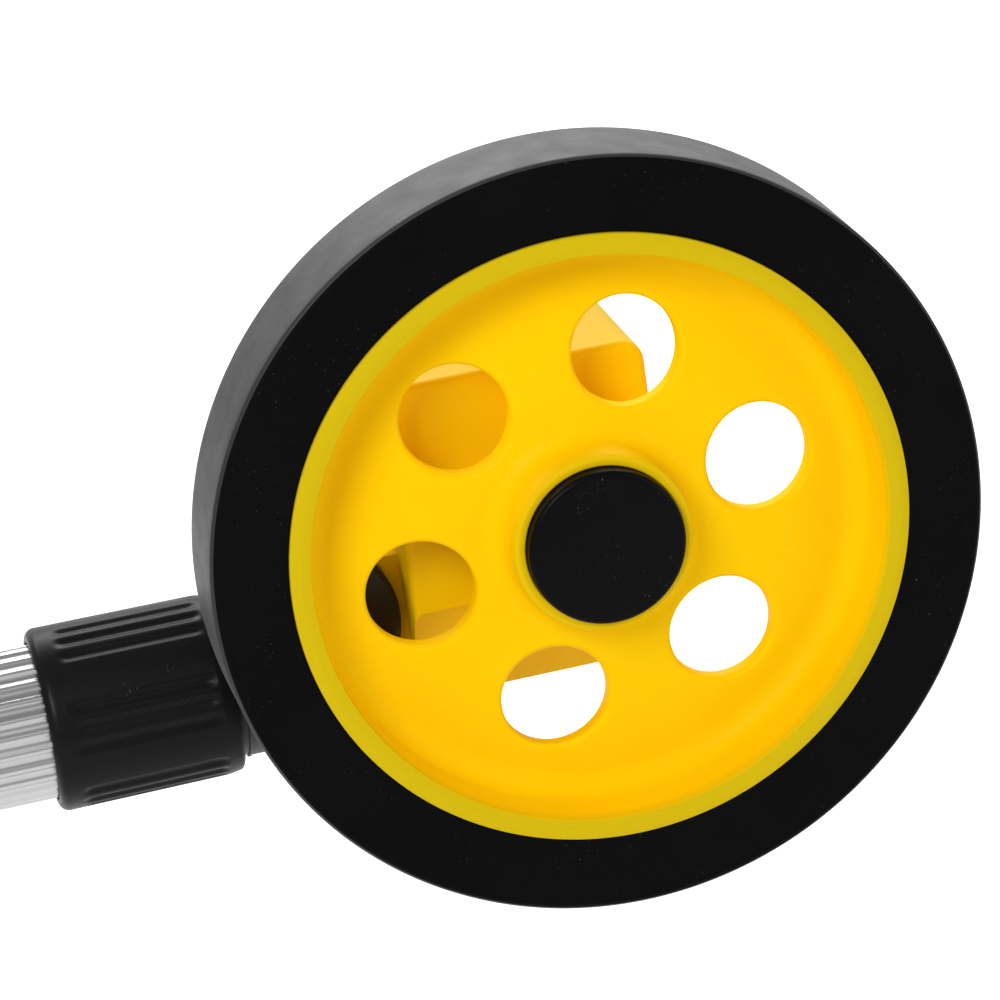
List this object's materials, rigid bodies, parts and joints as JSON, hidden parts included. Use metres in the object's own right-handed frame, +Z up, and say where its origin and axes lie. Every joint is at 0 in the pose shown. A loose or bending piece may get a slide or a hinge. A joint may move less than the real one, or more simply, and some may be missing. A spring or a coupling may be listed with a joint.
{
  "type": "measuring wheel",
  "caption": "Small distance measuring wheel: dished hub with a rubber tyre, a digit counter, a fold hinge and a telescopic pole with a hand grip.",
  "frame": {"origin": "middle of the hand grip, on the pole's axis", "axes": "+X along the pole towards the wheel, +Y along the axle away from the wheel's outer face, +Z up"},
  "size_m": [0.5716, 0.0757, 0.1592],
  "materials": {
    "tyre_rubber": "smooth matt rubber",
    "hub_yellow": "satin moulded plastic",
    "cap_black": "satin",
    "zinc_steel": "zinc plated",
    "steel": "ground",
    "spring_steel": "drawn wire",
    "acetal": "natural",
    "housing_yellow": "fine texture",
    "bronze": "sintered",
    "gloss_black": "gloss",
    "window_clear": "clear acrylic",
    "button_black": "satin",
    "moulded_black": "fine texture",
    "nylon_washer": "natural",
    "knob_black": "fine texture",
    "collar_black": "satin",
    "tube_aluminium": "extruded, anodised",
    "grip_rubber": "matt",
    "drum_black": "satin",
    "drum_red": "satin"
  },
  "bodies": {
    "grip_section": {"grip_core": "moulded_black", "grip_sleeve": "grip_rubber", "grip_end_cap": "moulded_black", "upper_tube": "tube_aluminium", "upper_guide": "acetal"},
    "upper_nut": {"upper_lock_nut": "collar_black"},
    "middle_section": {"middle_tube": "tube_aluminium", "middle_guide": "acetal", "upper_lock_sleeve": "moulded_black"},
    "lower_nut": {"lower_lock_nut": "collar_black"},
    "lower_section": {"lower_tube": "tube_aluminium", "lower_lock_sleeve": "moulded_black", "pole_socket": "moulded_black", "hinge_bolt": "zinc_steel", "hinge_cap": "moulded_black", "friction_washers": "nylon_washer"},
    "collar": {"socket_collar": "collar_black"},
    "knob": {"hinge_knob": "knob_black"},
    "counter_body": {"front_shell": "housing_yellow", "rear_shell": "housing_yellow", "front_bush": "bronze", "rear_bush": "bronze", "window_bezel": "gloss_black", "counter_window": "window_clear", "housing_screws": "zinc_steel", "counter_frame": "zinc_steel", "drum_shaft": "steel", "pinion_shaft": "steel", "idler_stud": "steel", "reset_spring": "spring_steel"},
    "wheel": {"tyre": "tyre_rubber", "wheel_hub": "hub_yellow", "hub_cap": "cap_black", "axle_washer": "zinc_steel", "axle_screw": "zinc_steel", "axle_shaft": "steel", "axle_clip": "spring_steel", "drive_gear": "acetal"},
    "idler": {"idler_gear": "acetal"},
    "button": {"reset_button": "button_black"},
    "drum_1": {"digit_drum_1": "drum_red"},
    "drum_2": {"digit_drum_2": "drum_black"},
    "drum_3": {"digit_drum_3": "drum_black"},
    "drum_4": {"digit_drum_4": "drum_black"},
    "drum_5": {"digit_drum_5": "drum_black"},
    "pinion_1": {"transfer_pinion_1": "acetal"},
    "pinion_2": {"transfer_pinion_2": "acetal"},
    "pinion_3": {"transfer_pinion_3": "acetal"},
    "pinion_4": {"transfer_pinion_4": "acetal"}
  },
  "joints": [
    {"name": "upper_slide", "type": "slide", "parent": "grip_section", "child": "middle_section", "axis": [1, 0, 0], "range_m": [0, 0.165]},
    {"name": "lower_slide", "type": "slide", "parent": "middle_section", "child": "lower_section", "axis": [1, 0, 0], "range_m": [0, 0.165]},
    {"name": "upper_nut_turn", "type": "hinge", "parent": "middle_section", "child": "upper_nut", "pos_m": [0.082, 0, 0], "axis": [1, 0, 0], "range_deg": [0, 60]},
    {"name": "lower_nut_turn", "type": "hinge", "parent": "lower_section", "child": "lower_nut", "pos_m": [0.118, 0, 0], "axis": [1, 0, 0], "range_deg": [0, 60]},
    {"name": "collar_turn", "type": "hinge", "parent": "lower_section", "child": "collar", "pos_m": [0.3245, 0, 0], "axis": [1, 0, 0], "range_deg": [0, 60]},
    {"name": "knob_turn", "type": "hinge", "parent": "lower_section", "child": "knob", "pos_m": [0.361, 0.02, 0.0122], "axis": [0, 1, 0], "range_deg": [0, 180]},
    {"name": "pole_fold", "type": "hinge", "parent": "lower_section", "child": "counter_body", "pos_m": [0.361, 0, 0.0122], "axis": [0, -1, 0], "range_deg": [0, 90]},
    {"name": "wheel_spin", "type": "hinge", "parent": "counter_body", "child": "wheel", "pos_m": [0.418, -0.033, 0.0302], "axis": [0, 1, 0], "continuous": true},
    {"name": "idler_spin", "type": "hinge", "parent": "counter_body", "child": "idler", "pos_m": [0.40646, 0, 0.0269], "axis": [0, 1, 0], "continuous": true},
    {"name": "button_press", "type": "slide", "parent": "counter_body", "child": "button", "axis": [0, -1, 0], "range_m": [0, 0.0025], "stiffness_N_per_m": 400, "springref_m": -0.002, "deforming": ["reset_spring"]},
    {"name": "drum_1_spin", "type": "hinge", "parent": "counter_body", "child": "drum_1", "pos_m": [0.3962, 0, 0.0402], "axis": [0, 1, 0], "continuous": true},
    {"name": "drum_2_spin", "type": "hinge", "parent": "counter_body", "child": "drum_2", "pos_m": [0.3962, 0, 0.0402], "axis": [0, 1, 0], "continuous": true},
    {"name": "drum_3_spin", "type": "hinge", "parent": "counter_body", "child": "drum_3", "pos_m": [0.3962, 0, 0.0402], "axis": [0, 1, 0], "continuous": true},
    {"name": "drum_4_spin", "type": "hinge", "parent": "counter_body", "child": "drum_4", "pos_m": [0.3962, 0, 0.0402], "axis": [0, 1, 0], "continuous": true},
    {"name": "drum_5_spin", "type": "hinge", "parent": "counter_body", "child": "drum_5", "pos_m": [0.3962, 0, 0.0402], "axis": [0, 1, 0], "continuous": true},
    {"name": "pinion_1_spin", "type": "hinge", "parent": "counter_body", "child": "pinion_1", "pos_m": [0.4018, 0, 0.0499], "axis": [0, 1, 0], "continuous": true},
    {"name": "pinion_2_spin", "type": "hinge", "parent": "counter_body", "child": "pinion_2", "pos_m": [0.4018, 0, 0.0499], "axis": [0, 1, 0], "continuous": true},
    {"name": "pinion_3_spin", "type": "hinge", "parent": "counter_body", "child": "pinion_3", "pos_m": [0.4018, 0, 0.0499], "axis": [0, 1, 0], "continuous": true},
    {"name": "pinion_4_spin", "type": "hinge", "parent": "counter_body", "child": "pinion_4", "pos_m": [0.4018, 0, 0.0499], "axis": [0, 1, 0], "continuous": true}
  ],
  "couplings": [
    {"joint": "idler_spin", "follows": "wheel_spin", "ratio": -0.66667},
    {"joint": "drum_1_spin", "follows": "wheel_spin", "ratio": 0.5},
    {"joint": "drum_2_spin", "follows": "wheel_spin", "ratio": 0.05},
    {"joint": "drum_3_spin", "follows": "wheel_spin", "ratio": 0.005},
    {"joint": "drum_4_spin", "follows": "wheel_spin", "ratio": 0.0005},
    {"joint": "drum_5_spin", "follows": "wheel_spin", "ratio": 0.00005},
    {"joint": "pinion_1_spin", "follows": "wheel_spin", "ratio": -0.125},
    {"joint": "pinion_2_spin", "follows": "wheel_spin", "ratio": -0.0125},
    {"joint": "pinion_3_spin", "follows": "wheel_spin", "ratio": -0.00125},
    {"joint": "pinion_4_spin", "follows": "wheel_spin", "ratio": -0.000125}
  ]
}
